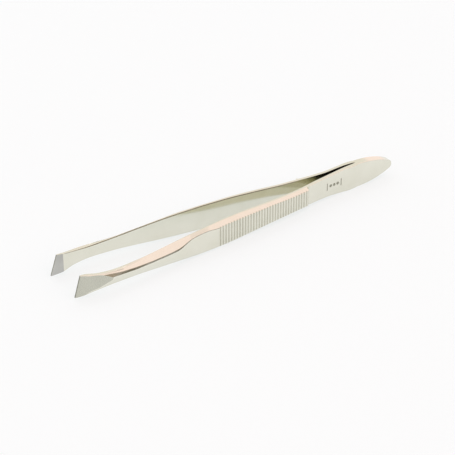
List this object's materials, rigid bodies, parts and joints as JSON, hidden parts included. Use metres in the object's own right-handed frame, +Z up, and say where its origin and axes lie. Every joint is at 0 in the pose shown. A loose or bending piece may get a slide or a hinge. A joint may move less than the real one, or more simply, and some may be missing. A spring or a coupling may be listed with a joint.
{
  "type": "slant tweezers",
  "caption": "Sprung steel cosmetic tweezers with a leaf-shaped welded tail, grooved grips, ridged shanks and wide slanted jaws.",
  "frame": {"origin": "on the surface the tweezers lie on, below the middle of the whole object's box", "axes": "+X along the length towards the welded tail, with the jaws at -X; Y across the opening, with the near arm at -Y and the far arm at +Y; +Z up across the width of the blades"},
  "size_m": [0.0899, 0.014, 0.0063],
  "materials": {
    "polished_steel": "nickel-plated spring steel, polished",
    "ground_steel": "nickel-plated spring steel, ground pad and facet",
    "weld_steel": "welded steel inside the tail"
  },
  "bodies": {
    "tail_block": {"near_tail": "polished_steel", "near_spring_rear": "polished_steel", "far_tail": "polished_steel", "far_spring_rear": "polished_steel", "spot_welds": "weld_steel"},
    "near_arm": {"near_spring_front": "polished_steel", "near_grip": "polished_steel", "near_shank": "polished_steel", "near_jaw": "ground_steel"},
    "far_arm": {"far_spring_front": "polished_steel", "far_grip": "polished_steel", "far_shank": "polished_steel", "far_jaw": "ground_steel"}
  },
  "joints": [
    {"name": "near_flex", "type": "hinge", "parent": "tail_block", "child": "near_arm", "pos_m": [0.027, -0.00052, 0.00313], "axis": [0, 0, -1], "range_deg": [0, 3.99], "stiffness_Nm_per_rad": 1.2},
    {"name": "far_flex", "type": "hinge", "parent": "tail_block", "child": "far_arm", "pos_m": [0.027, 0.00052, 0.00313], "axis": [0, 0, 1], "range_deg": [0, 3.99], "stiffness_Nm_per_rad": 1.2}
  ]
}
